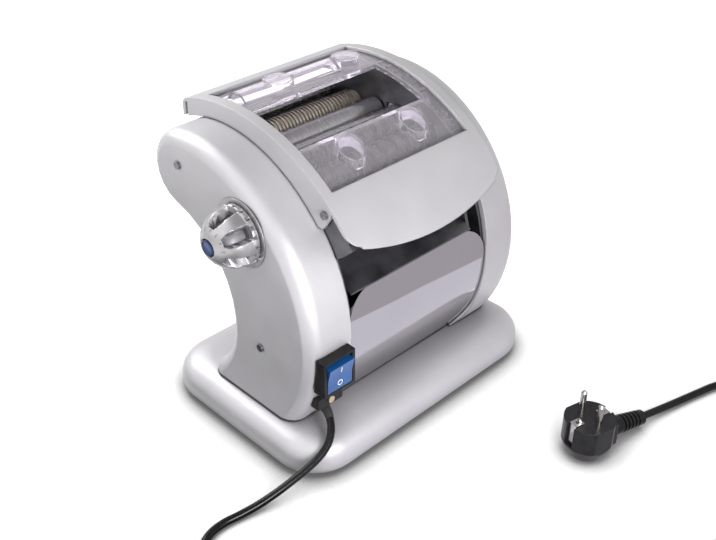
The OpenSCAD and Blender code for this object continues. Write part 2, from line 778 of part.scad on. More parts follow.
// Gear of a roller pair; taller teeth keep a moving roller in mesh
module pair_gear(c, cc, phase, x, tall = 1) {
    m = cc / pair_teeth;
    gear(c, pair_teeth, cc / 2, tall * m, (tall + 0.28) * m, phase, shaft_r + fit_gap, x[0], x[1]);
}

// Gear of the drive train, in the outer plane
module drive_gear(c, n, phase, bore) {
    gear(c, n, drive_module * n / 2, 0.95 * drive_module, 1.25 * drive_module, phase, bore, gear_b[0], gear_b[1]);
}

// Hub that joins the two gears on one shaft
module gear_hub(c, x) {
    difference() {
        rod_x(c, shaft_r + 3, x[1], gear_b[0]);
        rod_x(c, shaft_r + fit_gap, x[0], gear_b[1]);
    }
}

// Phases, carried from gear to gear so that every mesh has a tooth in a gap
main_p = 0;
fixed_p = mesh(main_teeth, main_c, main_p, drive_teeth, fixed_c);
fine_p = mesh(drive_teeth, fixed_c, fixed_p, drive_teeth, fine_front_c);
idler_p = mesh(main_teeth, main_c, main_p, idler_teeth, idler_c);
wide_p = mesh(idler_teeth, idler_c, idler_p, drive_teeth, wide_front_c);
pinion_p = mesh(main_teeth, main_c, main_p, pinion_teeth, pinion_c);

module fixed_roller_gear() {
    color("darkgray") {
        pair_gear(fixed_c, close_cc, 0, gear_a, 1.17);
        drive_gear(fixed_c, drive_teeth, fixed_p, shaft_r + fit_gap);
        gear_hub(fixed_c, gear_a);
    }
}

module moving_roller_gear() {
    color("darkgray") pair_gear(moving_c, close_cc, mesh(pair_teeth, fixed_c, 0, pair_teeth, moving_c), gear_a, 1.17);
}

module fine_front_gear() {
    color("darkgray") {
        pair_gear(fine_front_c, fine_cc, 0, gear_c);
        drive_gear(fine_front_c, drive_teeth, fine_p, shaft_r + fit_gap);
        gear_hub(fine_front_c, gear_c);
    }
}

module fine_rear_gear() {
    color("darkgray") pair_gear(fine_rear_c, fine_cc, mesh(pair_teeth, fine_front_c, 0, pair_teeth, fine_rear_c), gear_c);
}

module wide_rear_gear() {
    color("darkgray") pair_gear(wide_rear_c, wide_cc, mesh(pair_teeth, wide_front_c, 0, pair_teeth, wide_rear_c), gear_c);
}

module wide_front_gear() {
    color("darkgray") {
        pair_gear(wide_front_c, wide_cc, 0, gear_c);
        drive_gear(wide_front_c, drive_teeth, wide_p, shaft_r + fit_gap);
        gear_hub(wide_front_c, gear_c);
    }
}

module main_gear() {
    color("white") drive_gear(main_c, main_teeth, main_p, pin_r + run_gap);
}

module idler_gear() {
    color("white") drive_gear(idler_c, idler_teeth, idler_p, pin_r + run_gap);
}

// Pins that the main gear and the idler turn on, with a collar behind each gear
module axle_pins() {
    color("lightgray") for (c = pin_places) {
        rod_x(c, pin_r, right_plate[0], cover_plate[1]);
        rod_x(c, pin_r + 2, right_plate[1], gear_b[0] - seat_gap);
    }
}

module motor_pinion() {
    color("lightgray") {
        gear(pinion_c, pinion_teeth, drive_module * pinion_teeth / 2, 0.95 * drive_module, 1.25 * drive_module,
            pinion_p, 2, gear_b[0], gear_b[1]);
        rod_x(pinion_c, 2, gear_b[0], gear_b[1]);
        rod_x(pinion_c, shaft_r, right_plate[0] - 12, gear_b[0]);
    }
}

// Gearbox bolted inside the right plate, with the motor hung below it
motor_c = [-28, drum_z - 19.5];
motor_r = 27;
gearbox_x = [right_plate[0] - 28, right_plate[0]];

module gearbox() {
    color("silver") difference() {
        along_x(gearbox_x[0], gearbox_x[1]) hull() {
            translate(pinion_c) circle(r = 12, $fn = 32);
            translate(motor_c) circle(r = 22, $fn = 32);
        }
        rod_x(pinion_c, shaft_r + run_gap, right_plate[0] - 13, side_x);
    }
}

module motor() {
    color("dimgray") {
        turned(motor_c, [[0, -50], [5, -50], [5, -46], [motor_r - 3, -46], [motor_r, -42],
            [motor_r, gearbox_x[0] - 4], [motor_r - 5, gearbox_x[0]], [0, gearbox_x[0]]]);
    }
}

// Knob: a cone with six finger scoops and a notched rim
module knob() {
    face = side_x + 1.5;
    color("lightgray") difference() {
        turned(knob_c, [[0, -face - 3], [0, -face], [knob_r, -face], [knob_r, -face - 4], [knob_r - 1.5, -face - 6],
            [knob_r - 4.5, -face - 14], [knob_r - 9, -face - 22], [knob_r - 11.5, -face - knob_h + 3.5],
            [knob_r - 13, -face - knob_h + 2.5], [8, -face - knob_h + 2.5], [8, -face - knob_h + 5],
            [0, -face - knob_h + 5]]);
        rod_x(knob_c, spindle_r + fit_gap, -face - knob_h + 9, -face + 1);
        for (a = [0:60:300]) translate([-face - 17, knob_c[0], knob_c[1]]) rotate([a, 0, 0])
            translate([0, 0, knob_r - 1]) rotate([0, 62, 0]) cylinder(r = 6.5, h = 30, center = true, $fn = 32);
        for (a = [15:30:345]) translate([-face - 4, knob_c[0], knob_c[1]]) rotate([a, 0, 0])
            translate([0, -1.1, knob_r - 1]) cube([4.2, 2.2, 3]);
    }
}

module knob_cap() {
    face = side_x + 1.5;
    color("royalblue") turned(knob_c, [[0, -face - knob_h + 5], [0, -face - knob_h + 1.5],
        [5.5, -face - knob_h + 1.5], [7.6, -face - knob_h + 2.3], [7.6, -face - knob_h + 5]]);
}

module knob_spindle() {
    face = side_x + 1.5;
    color("lightgray") rod_x(knob_c, spindle_r, -face - knob_h + 9, left_plate[1] - 0.2);
}

// Cam with an even rise, so that the carriage moves in step with the knob
module adjuster_cam() {
    back = 40;
    color("goldenrod") along_x(cam_x[0], cam_x[1]) translate(knob_c) difference() {
        polygon([for (a = [0:5:355]) let (rise = min(a, cam_turn) / cam_turn,
            fall = min(max(a - cam_turn - back / 2, 0) / (360 - cam_turn - back), 1),
            r = cam_r + gap_travel * (rise - fall)) r * [cos(-a), sin(-a)]]);
        circle(r = spindle_r + fit_gap, $fn = 48);
    }
}

// Numbered ring that lies on the housing under the knob
module dial_ring() {
    color("gainsboro") difference() {
        rod_x(knob_c, knob_r + 3, -side_x - 1, -side_x);
        rod_x(knob_c, spindle_r + 2, -side_x - 2, -side_x + 1);
    }
}

// Switch: bezel on the housing, body behind it and a rocker that tips on a pin
module switch_bezel() {
    front = face_y - bezel_proud;
    color("black") difference() {
        translate([switch_x - bezel_size / 2, front, switch_z - bezel_size / 2])
            cube([bezel_size, bezel_proud + 2.5, bezel_size]);
        translate([switch_x - rocker_w / 2 - rocker_gap, front - 1, switch_z - rocker_h / 2 - rocker_gap])
            cube([rocker_w + 2 * rocker_gap, bezel_proud + 20, rocker_h + 2 * rocker_gap]);
        translate([0, drum_y, drum_z]) rotate([0, 90, 0])
            cylinder(r = drum_r + 0.1, h = 2 * side_x, center = true, $fn = 240);
    }
}

rocker_y = face_y - bezel_proud + 6;
module switch_body() {
    color("dimgray") difference() {
        translate([switch_x - rocker_w / 2, rocker_y + 0.8, switch_z - rocker_h / 2])
            cube([rocker_w, 22, rocker_h]);
        translate([switch_x - rocker_w / 2 + 1.5, rocker_y - 2, switch_z - rocker_h / 2 + 1])
            cube([rocker_w - 3, 12, rocker_h - 2]);
        rod_x([rocker_y + 4, switch_z], 1.25, -side_x, 0);
    }
}

// The rocker rests with its lower edge pressed in
rocker_tilt = 8;
module switch_rocker() {
    half = rocker_h / 2 - 1.3;
    form = [[3.5, -3.5], [3.5, 3.5], [-2, half - 0.6], [-11.5, half], [-10.3, 0], [-11.5, -half], [-2, 0.6 - half]];
    w = rocker_w - 3.8;
    wide = rocker_w - 0.6;
    color("royalblue") translate([switch_x, rocker_y + 4, switch_z]) rotate([rocker_tilt, 0, 0]) {
        along_x(-w / 2, w / 2) difference() {
            polygon(form);
            circle(r = 1.25 + run_gap, $fn = 32);
        }
        along_x(-wide / 2, wide / 2) intersection() {
            polygon(form);
            translate([-12, -half - 1]) square([7, 2 * half + 2]);
        }
    }
}

module rocker_pin() {
    color("lightgray") rod_x([rocker_y + 4, switch_z], 1.25, switch_x - rocker_w / 2, switch_x + rocker_w / 2);
}

// Bar over the cord below the switch, with its screw
module cord_clamp() {
    color("black") difference() {
        translate([switch_x - 12, clamp_y - 6.5, clamp_z - 4]) cube([24, 11, 9]);
        translate([0, drum_y, drum_z]) rotate([0, 90, 0])
            cylinder(r = drum_r + 0.1, h = 2 * side_x, center = true, $fn = 240);
        rod_y([switch_x, clamp_z + 1], 1.7, clamp_y - 12, clamp_y + 14);
    }
}

module clamp_screw() {
    color("goldenrod") {
        rod_y([switch_x, clamp_z + 1], 2.8, clamp_y - 8.1, clamp_y - 6.5);
        rod_y([switch_x, clamp_z + 1], 1.5, clamp_y - 6.5, clamp_y + 5);
    }
}

// Mains cord: points chosen by hand, in the frame of the body
lead_out = [
    [-97.5, -75.4, 43.4], [-98.8, -77.6, 41.5], [-100.4, -79.8, 39.3], [-103.7, -82.6, 35.2], [-106.9, -84.1, 31.7],
    [-111.4, -84.8, 27.7], [-118.2, -84.5, 23.2], [-128.5, -82.7, 17.7], [-142.2, -79.9, 11.9],
    [-156.3, -77.2, 7.3], [-170.6, -74.5, 4.3], [-183, -72, 3], [-196, -70, 3], [-208.5, -71.2, 3],
    [-219.5, -77.5, 3], [-227, -87.8, 3], [-230, -101, 3], [-229.2, -136, 3],
    [-227.8, -170, 3], [-227.4, -200, 3]
];
lead_in = [
    [-186, -241.4, 3], [-164, -242.2, 3], [-138, -247.2, 3], [-106, -257.5, 3], [-68, -273.5, 3],
    [-30, -293.5, 3], [2, -310, 3], [28, -321, 3], [56, -327.5, 3], [88, -328, 3], [122, -322.5, 3],
    [154, -313.5, 3], [180, -303.5, 3], [199, -292, 3], [210.5, -276, 3], [211.5, -257.5, 3],
    [201.5, -243, 3], [186, -235.5, 3], [171, -231.2, 3], [139, -223.3, 3.9], [105.8, -216.5, 7.4]
];
coil_c = [-186, -200];
coil_r = 35;
coil_turns = 2;

// Sideways vector of each ring, carried along the route without twist
function heading(route, i) = unit(route[min(i + 1, len(route) - 1)] - route[max(i - 1, 0)]);
function unit(v) = v / norm(v);
function side_of(route, i) = let (t = heading(route, i), s = i == 0 ? [1, 0, 0] : side_of(route, i - 1))
    unit(s - (s * t) * t);

// Round tube along a route
module tube(route, r, sides) {
    loft([for (i = [len(route) - 1:-1:0]) let (t = heading(route, i), s = side_of(route, i), u = cross(t, s))
        [for (k = [0:sides - 1]) let (a = 360 * k / sides) route[i] + r * (cos(a) * s - sin(a) * u)]]);
}

module power_cord() {
    color("black") {
        tube(lead_out, cord_r, 8);
        tube(lead_in, cord_r, 8);
    }
}

// Outer shape of the wound turns
module cord_coil() {
    color("black") translate([coil_c[0], coil_c[1], 0]) rotate_extrude($fn = 64)
        translate([coil_r - cord_r - 0.1, 0]) square([cord_d + 0.2, coil_turns * cord_d + 0.5]);
}

// Tapered boot where the cord leaves the housing, with a collar inside the wall
boot_from = [switch_x, clamp_y, clamp_z];
boot_route = [
    boot_from + [0, 17.7, -8.4], boot_from + [0, 11.7, -8.5], boot_from + [-0.1, 5.7, -8.8],
    boot_from + [-0.4, 0.7, -9.7], boot_from + [-1, -3.1, -11], boot_from + [-1.8, -6.1, -12.7],
    boot_from + [-2.9, -8.5, -14.4]
];
module strain_relief() {
    n = len(boot_route) - 1;
    color("black") {
        loft([for (i = [n:-1:0]) let (t = heading(boot_route, i), s = side_of(boot_route, i), u = cross(t, s))
            [for (k = [0:11]) let (a = 30 * k) boot_route[i]
                + (cord_r + 1.6 - 1.4 * i / n) * (cos(a) * s - sin(a) * u)]]);
        rod_y([switch_x, clamp_z - 8.5], cord_r + 4, clamp_y + 14, clamp_y + 16);
    }
}

// Round angled plug that lies on its back with the pins up
plug_c = [51, -202.8];
plug_turn = -14;
plug_h = 32;
plug_r = 19.5;

module at_plug() {
    translate([plug_c[0], plug_c[1], 0]) rotate([0, 0, plug_turn]) children();
}

plug_foot = 13.5;       // radius of the plug where it lies on the floor
plug_taper = 12;        // height over which it widens
plug_axis = 12;         // height of the cord's axis where the boot starts
boot_l = 33;
boot_tilt = 7.9;
contact_w = 8;

module plug_body() {
    color("black") at_plug() difference() {
        union() {
            intersection() {
                union() {
                    cylinder(r1 = plug_foot, r2 = plug_r, h = plug_taper, $fn = 64);
                    translate([0, 0, plug_taper]) cylinder(r = plug_r, h = plug_h - plug_taper, $fn = 64);
                }
                translate([-plug_r, -plug_r + 1.5, 0]) cube([2 * plug_r, 2 * plug_r - 3, plug_h]);
            }
            translate([plug_r - 12, -8.5, 2]) cube([16, 17, 19]);
        }
        for (s = [-1, 1]) translate([s > 0 ? plug_r - 4 : -plug_r - 1, -contact_w / 2, 13])
            cube([5, contact_w, plug_h]);
        for (s = [-1, 1]) translate([0, s * 9.5, plug_h - 6]) cylinder(r = 2.4, h = 7, $fn = 32);
    }
}

module plug_pins() {
    color("lightgray") at_plug() for (s = [-1, 1]) translate([0, s * 9.5, plug_h - 6]) {
        cylinder(r = 2.4, h = 23.5, $fn = 32);
        translate([0, 0, 23.5]) cylinder(r1 = 2.4, r2 = 1.2, h = 1.5, $fn = 32);
    }
}

module earth_contacts() {
    color("silver") at_plug() for (s = [-1, 1]) mirror([s > 0 ? 0 : 1, 0, 0]) {
        translate([plug_r - 4, 0.5 - contact_w / 2, 15]) cube([1.2, contact_w - 1, plug_h - 15]);
        translate([plug_r - 11, 0.5 - contact_w / 2, plug_h]) difference() {
            cube([8.2, contact_w - 1, 0.8]);
            translate([3.8, contact_w / 2 - 0.5, -1]) cylinder(r = 1.6, h = 3, $fn = 24);
        }
    }
}

module plug_boot() {
    color("black") at_plug() translate([plug_r + 4, 0, plug_axis]) rotate([0, 90 + boot_tilt, 0]) difference() {
        translate([0, 0, -1]) cylinder(r1 = 8.2, r2 = 6, h = boot_l + 1, $fn = 32);
        rotate([0, -boot_tilt, 0]) translate([-20, -20, -10]) cube([40, 40, 10]);
        for (z = [9:4:25]) translate([0, 0, z]) difference() {
            cylinder(r = 10, h = 1.6, $fn = 32);
            cylinder(r = 5.2, h = 1.6, $fn = 32);
        }
    }
}

// Puts a piece in the frame whose origin lies under the middle of the body
module placed() {
    translate([-middle_x, -middle_y, 0]) children();
}

placed() base_shell();
placed() base_plate();
placed() rubber_feet();
placed() base_screws();
placed() left_housing();
placed() right_housing();
placed() housing_screws();
placed() left_frame_plate();
placed() right_frame_plate();
placed() gear_plate();
placed() adjuster_plate();
placed() tie_rods();
placed() frame_screws();
placed() front_panel();
placed() rear_panel();
placed() outlet_chute();
placed() hood();
placed() clear_guard();
placed() hood_screws();
placed() fixed_roller();
placed() moving_roller();
placed() fine_cutter_front();
placed() fine_cutter_rear();
placed() wide_cutter_rear();
placed() wide_cutter_front();
placed() fine_comb();
placed() wide_comb();
placed() roller_bushes();
placed() roller_carriage();
placed() fixed_roller_gear();
placed() moving_roller_gear();
placed() fine_front_gear();
placed() fine_rear_gear();
placed() wide_rear_gear();
placed() wide_front_gear();
placed() main_gear();
placed() idler_gear();
placed() axle_pins();
placed() motor_pinion();
placed() gearbox();
placed() motor();
placed() knob();
placed() knob_cap();
placed() knob_spindle();
placed() adjuster_cam();
placed() dial_ring();
placed() switch_bezel();
placed() switch_body();
placed() switch_rocker();
placed() rocker_pin();
placed() cord_clamp();
placed() clamp_screw();
placed() strain_relief();
placed() power_cord();
placed() cord_coil();
placed() plug_body();
placed() plug_pins();
placed() earth_contacts();
placed() plug_boot();
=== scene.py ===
import json
import math

import bmesh
import bpy
from mathutils import Matrix, Vector
from mathutils.bvhtree import BVHTree

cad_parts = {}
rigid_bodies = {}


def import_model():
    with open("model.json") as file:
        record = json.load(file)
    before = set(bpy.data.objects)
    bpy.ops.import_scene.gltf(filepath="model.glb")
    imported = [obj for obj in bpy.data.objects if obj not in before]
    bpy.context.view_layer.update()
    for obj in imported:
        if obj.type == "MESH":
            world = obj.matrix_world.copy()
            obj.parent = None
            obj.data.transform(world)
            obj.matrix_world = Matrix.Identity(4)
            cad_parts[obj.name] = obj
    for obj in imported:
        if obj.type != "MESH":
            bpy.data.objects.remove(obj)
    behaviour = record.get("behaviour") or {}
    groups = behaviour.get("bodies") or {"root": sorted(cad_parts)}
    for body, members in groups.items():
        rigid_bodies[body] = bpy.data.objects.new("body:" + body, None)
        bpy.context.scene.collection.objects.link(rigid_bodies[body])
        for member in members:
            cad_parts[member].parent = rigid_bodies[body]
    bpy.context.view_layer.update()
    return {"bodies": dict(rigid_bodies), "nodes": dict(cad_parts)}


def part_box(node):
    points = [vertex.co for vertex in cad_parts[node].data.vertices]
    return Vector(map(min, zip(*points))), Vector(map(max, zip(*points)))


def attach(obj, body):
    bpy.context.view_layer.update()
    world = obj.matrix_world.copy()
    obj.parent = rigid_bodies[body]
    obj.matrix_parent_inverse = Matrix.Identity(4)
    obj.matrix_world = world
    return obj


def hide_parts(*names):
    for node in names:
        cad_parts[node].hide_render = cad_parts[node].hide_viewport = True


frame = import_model()
bodies, nodes = frame["bodies"], frame["nodes"]

# The machine's own frame has its origin in the middle of the roller bay, this far from the part's origin
shift = Vector((0.0075, -0.005, 0))


def at(x, y, z):
    # a place in the machine's frame, in millimetres
    return Vector((x, y, z)) / 1000 + shift


def link(obj):
    bpy.context.scene.collection.objects.link(obj)
    return obj


print("camera")
view = {
    "place": (-476.3, -490.4, 540.8),
    "ahead": (0.5865, 0.5968, -0.5476),
    "right": (0.713, -0.701, 0),
    "lens": 50.78,
}


def makeCamera():
    data = bpy.data.cameras.new("camera")
    data.lens = view["lens"]
    data.sensor_width = 36
    data.clip_start = 0.05
    camera = link(bpy.data.objects.new("camera", data))
    back = -Vector(view["ahead"]).normalized()
    right = Vector(view["right"])
    right = (right - back * right.dot(back)).normalized()
    up = back.cross(right)
    turn = Matrix((right, up, back)).transposed().to_4x4()
    camera.matrix_world = Matrix.Translation(at(*view["place"])) @ turn
    bpy.context.scene.camera = camera


makeCamera()

print("cord")
cord = {
    "thick": 6.0,
    "length": 1.34,
    "coilCentre": (-186, -200),
    "coilRadius": 35.0,
    "stepsPerTurn": 16,
    "coilSteps": 36,
    "leadOut": [
        (-97.5, -75.4, 43.4), (-98.8, -77.6, 41.5), (-100.4, -79.8, 39.3), (-103.7, -82.6, 35.2),
        (-106.9, -84.1, 31.7), (-111.4, -84.8, 27.7), (-118.2, -84.5, 23.2), (-128.5, -82.7, 17.7),
        (-142.2, -79.9, 11.9), (-156.3, -77.2, 7.3), (-170.6, -74.5, 4.3), (-183, -72, 3), (-196, -70, 3),
        (-208.5, -71.2, 3), (-219.5, -77.5, 3), (-227, -87.8, 3), (-230, -101, 3), (-229.2, -136, 3),
        (-227.8, -170, 3), (-227.4, -200, 3),
    ],
    "leadIn": [
        (-186, -241.4, 3), (-164, -242.2, 3), (-138, -247.2, 3), (-106, -257.5, 3), (-68, -273.5, 3),
        (-30, -293.5, 3), (2, -310, 3), (28, -321, 3), (56, -327.5, 3), (88, -328, 3), (122, -322.5, 3),
        (154, -313.5, 3), (180, -303.5, 3), (199, -292, 3), (210.5, -276, 3), (211.5, -257.5, 3),
        (201.5, -243, 3), (186, -235.5, 3), (171, -231.2, 3), (139, -223.3, 3.9), (105.8, -216.5, 7.4),
    ],
}


def ease(t):
    t = min(1, max(0, t))
    return t * t * (3 - 2 * t)


def coilPoints():
    # round once on the floor, up onto the first turn, round again and down outside it
    cx, cy = cord["coilCentre"]
    points = []
    for i in range(1, cord["coilSteps"]):
        a = math.pi + 2 * math.pi * i / cord["stepsPerTurn"]
        r = cord["coilRadius"] + 6.4 * (1 - ease(i / 4)) + 8 * ease((i - 28.5) / 4)
        up = ease((i - 13) / 6.5) - min(1, max(0, (i - 32) / 4)) ** 2
        points.append((cx + r * math.cos(a), cy + r * math.sin(a), cord["thick"] * (0.5 + 1.02 * up)))
    return points


def smoothHandles(places):
    # directions at the points as on a circle through each three, handles a third of the way
    steps = [b - a for a, b in zip(places, places[1:])]
    ahead = [step.normalized() for step in steps]
    turns = [None]
    for i in range(1, len(places) - 1):
        turns.append((ahead[i - 1] * steps[i].length + ahead[i] * steps[i - 1].length).normalized())
    turns[0] = 2 * ahead[0].dot(turns[1]) * ahead[0] - turns[1]
    turns.append(2 * ahead[-1].dot(turns[-1]) * ahead[-1] - turns[-1])
    return turns, [step.length * 0.343 for step in steps]


def makeCord():
    route = [at(*place) for place in cord["leadOut"] + coilPoints() + cord["leadIn"]]
    turns, reach = smoothHandles(route)
    curve = bpy.data.curves.new("mainsCord", "CURVE")
    curve.dimensions = "3D"
    curve.bevel_depth = 1  # times each point's radius, so that the curve's box is the cord's own
    curve.bevel_resolution = 5
    curve.resolution_u = 6
    curve.use_fill_caps = True
    spline = curve.splines.new("BEZIER")
    spline.bezier_points.add(len(route) - 1)
    for i, knot in enumerate(spline.bezier_points):
        knot.co = route[i]
        knot.handle_left_type = knot.handle_right_type = "FREE"
        knot.handle_left = route[i] - turns[i] * reach[max(i - 1, 0)]
        knot.handle_right = route[i] + turns[i] * reach[min(i, len(reach) - 1)]
        knot.radius = cord["thick"] / 2000
    return link(bpy.data.objects.new("mainsCord", curve))


tie = {"wide": 7.0, "thick": 0.9, "half": (3.05, 6.15), "steps": 48, "turns": 1.25, "start": 0.35}


def makeTie():
    # a soft strap round both turns of the coil, its end lapped over its start
    cx, cy = cord["coilCentre"]
    bm = bmesh.new()
    rows = []
    for i in range(round(tie["steps"] * tie["turns"]) + 1):
        a = 2 * math.pi * (tie["start"] + i / tie["steps"])
        lap = 1.05 * tie["thick"] * min(1, max(0, (i - tie["steps"] + 8) / 8))
        corner = [math.copysign(math.sqrt(abs(value)), value) for value in (math.cos(a), math.sin(a))]
        row = []
        for out, side in ((0, -1), (0, 1), (tie["thick"], 1), (tie["thick"], -1)):
            x = cx + cord["coilRadius"] + (tie["half"][0] + lap + out) * corner[0]
            z = tie["half"][1] + (tie["half"][1] + lap + out) * corner[1]
            row.append(bm.verts.new(at(x, cy + side * tie["wide"] / 2, max(0.1, z))))
        rows.append(row)
    for a, b in zip(rows, rows[1:]):
        for i in range(4):
            bm.faces.new((a[i], a[i - 3], b[i - 3], b[i]))
    bm.faces.new(rows[0][::-1])
    bm.faces.new(rows[-1])
    bmesh.ops.recalc_face_normals(bm, faces=bm.faces)
    mesh = bpy.data.meshes.new("coilTie")
    bm.to_mesh(mesh)
    bm.free()
    return link(bpy.data.objects.new("coilTie", mesh))


mainsCord = makeCord()
coilTie = makeTie()
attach(coilTie, "frame")
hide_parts("power_cord", "cord_coil")
mainsCord.visible_glossy = False
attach(mainsCord, "frame")

print("knob")
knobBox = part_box("knob")
knobFoot = knobBox[1][0]
knobCentre = ((knobBox[0][1] + knobBox[1][1]) / 2, (knobBox[0][2] + knobBox[1][2]) / 2)
knob = {
    # height over the foot and radius, in millimetres, from the spindle's hole round to the cap's seat
    "inside": [(0, 3.4), (0, 20), (0, 22.2)],
    "outline": [
        (0.5, 23), (2, 23), (3.6, 23), (4.3, 22.7), (4.8, 22.1), (5.6, 22), (7, 21.9), (8.5, 21.7), (10, 21.5),
        (11.5, 21.3), (13, 21), (14.5, 20.5), (16, 19.9), (17.5, 19.1), (19, 18.2), (20.5, 17), (22, 15.6),
        (23.4, 14), (24.7, 12.3), (25.9, 10.5), (26.8, 8.9), (27.3, 7.9), (27.5, 7.2),
    ],
    "seat": [(27.4, 6.8), (26.8, 6.6), (25.6, 6.55), (25.5, 6.2), (25.4, 3)],
    "scoops": 6,
    "scoopHalf": 5.8,
    "scoopDepth": 6.8,
    "scoopFrom": 5.4,
    "scoopTo": 17.5,
    "notches": 20,
    "notchFrom": 0.4,
    "notchTo": 3.8,
    "notchDepth": 1.8,
    "notchHalf": 1.3,
    "around": 216,
    "digitSize": 3.6,
    "digitHeight": 23.6,
}


def knobRadius(height, radius, angle):
    # scoops with round ends for the fingers, and small notches in the foot
    step = 2 * math.pi / knob["scoops"]
    off = abs((angle + step / 2) % step - step / 2) * radius
    past = max(0, height - knob["scoopTo"])
    reach = math.hypot(off, past)
    wall = ease((knob["scoopHalf"] - reach) / 0.9) * ease((height - knob["scoopFrom"] + 1.2) / 1.2)
    radius -= knob["scoopDepth"] * wall
    if knob["notchFrom"] < height < knob["notchTo"]:
        pitch = 2 * math.pi / knob["notches"]
        near = abs((angle + pitch / 2) % pitch - pitch / 2) * knob["outline"][0][1]
        radius -= knob["notchDepth"] * ease((knob["notchHalf"] - near) / 0.4)
    return radius


def makeKnob():
    rows = knob["inside"] + knob["outline"] + knob["seat"]
    seatFrom = len(knob["inside"]) + len(knob["outline"])
    bm = bmesh.new()
    rings, sunk = [], set()
    for row, (height, radius) in enumerate(rows):
        ring = []
        for i in range(knob["around"]):
            a = 2 * math.pi * i / knob["around"]
            shaped = len(knob["inside"]) <= row < seatFrom
            r = (knobRadius(height, radius, a) if shaped else radius) / 1000
            ring.append(bm.verts.new((
                knobFoot - height / 1000, knobCentre[0] + r * math.sin(a), knobCentre[1] + r * math.cos(a))))
            if shaped and radius - r * 1000 > 1.2:
                sunk.add(ring[-1])  # painted shade: the scoops take a darker colour
        rings.append(ring)
    for low, high in zip(rings, rings[1:]):
        for i in range(knob["around"]):
            j = (i + 1) % knob["around"]
            bm.faces.new((low[i], low[j], high[j], high[i]))
    for i in range(knob["around"]):
        j = (i + 1) % knob["around"]
        bm.faces.new((rings[-1][i], rings[-1][j], rings[0][j], rings[0][i]))
    bmesh.ops.recalc_face_normals(bm, faces=bm.faces)
    for face in bm.faces:
        face.smooth = True
        face.material_index = int(all(vert in sunk for vert in face.verts))
    mesh = bpy.data.meshes.new("knobGrip")
    bm.to_mesh(mesh)
    bm.free()
    mesh.set_sharp_from_angle(angle=math.radians(50))
    grip = link(bpy.data.objects.new("knobGrip", mesh))
    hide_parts("knob")
    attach(grip, "knob")
    return grip


knobGrip = makeKnob()

cap = {
    # height over the knob's foot and radius
    "outline": [
        (25.6, 0.01), (25.6, 6.2), (27.2, 6.3), (27.9, 6.15), (28.25, 5.6), (28.3, 5), (28.05, 4.7), (28.4, 2.6),
        (28.45, 0.01),
    ],
    "borderRows": 6,
    "around": 72,
}


def makeCap():
    # a low dome with a groove round it
    bm = bmesh.new()
    around = cap["around"]
    rings = []
    for height, radius in cap["outline"]:
        ring = []
        for i in range(around):
            a = 2 * math.pi * i / around
            ring.append(bm.verts.new((
                knobFoot - height / 1000, knobCentre[0] + radius * math.sin(a) / 1000,
                knobCentre[1] + radius * math.cos(a) / 1000)))
        rings.append(ring)
    for k, (low, high) in enumerate(zip(rings, rings[1:])):
        for i in range(around):
            j = (i + 1) % around
            face = bm.faces.new((low[i], low[j], high[j], high[i]))
            face.smooth = True
            face.material_index = int(k < cap["borderRows"])
    bmesh.ops.remove_doubles(bm, verts=bm.verts, dist=0.00003)
    bmesh.ops.recalc_face_normals(bm, faces=bm.faces)
    mesh = bpy.data.meshes.new("knobButton")
    bm.to_mesh(mesh)
    bm.free()
    mesh.set_sharp_from_angle(angle=math.radians(40))
    button = link(bpy.data.objects.new("knobButton", mesh))
    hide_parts("knob_cap")
    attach(button, "knob")
    return button


knobButton = makeCap()

marks = {"lift": 0.00006, "firstDigit": 190, "digitStep": 28, "digitRadius": 12.4, "aimPast": 12}


def letterMesh(bm, text, size, place, right, up):
    # a flat letter in the middle of a place
    data = bpy.data.curves.new("letter", "FONT")
    data.body, data.size = text, size / 1000
    data.align_x, data.align_y = "CENTER", "CENTER"
    obj = link(bpy.data.objects.new("letter", data))
    mesh = bpy.data.meshes.new_from_object(obj.evaluated_get(bpy.context.evaluated_depsgraph_get()))
    count = len(bm.verts)
    bm.from_mesh(mesh)
    bm.verts.ensure_lookup_table()
    for vert in bm.verts[count:]:
        vert.co = place + right * vert.co.x + up * vert.co.y
    bpy.data.objects.remove(obj)
    bpy.data.curves.remove(data)
    bpy.data.meshes.remove(mesh)


def layMarks(name, bm, target, heading, body):
    # presses flat marks onto a piece along one direction
    tree = BVHTree.FromObject(target, bpy.context.evaluated_depsgraph_get())
    for vert in bm.verts:
        hit = tree.ray_cast(vert.co - heading(vert.co) * 0.03, heading(vert.co))[0]
        if hit:
            vert.co = hit - heading(vert.co) * marks["lift"]
    mesh = bpy.data.meshes.new(name)
    bm.to_mesh(mesh)
    bm.free()
    laid = link(bpy.data.objects.new(name, mesh))
    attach(laid, body)
    return laid


def makeDigits():
    bm = bmesh.new()
    centre = Vector((knobFoot - knob["digitHeight"] / 1000, *knobCentre))
    tip = Vector((-1, 0, 0))
    for n in range(10):
        a = math.radians(marks["digitStep"] * n + marks["firstDigit"])
        out = Vector((0, math.sin(a), math.cos(a)))
        face = (tip * 0.66 + out * 0.75).normalized()  # square to the dome here
        up = (tip - face * face.dot(tip)).normalized()
        place = centre + out * marks["digitRadius"] / 1000
        letterMesh(bm, str(n), knob["digitSize"], place, up.cross(face), up)
    inside = Vector((centre.x + marks["aimPast"] / 1000, *knobCentre))
    return layMarks("knobDigits", bm, knobGrip, lambda co: (inside - co).normalized(), "knob")


knobDigits = makeDigits()

print("seamShadows")
seam = {
    "thick": 1.5,
    "foot": 0.7,
    "side": 0.5,
    "standing": ["left_housing", "right_housing", "front_panel", "rear_panel"],
}


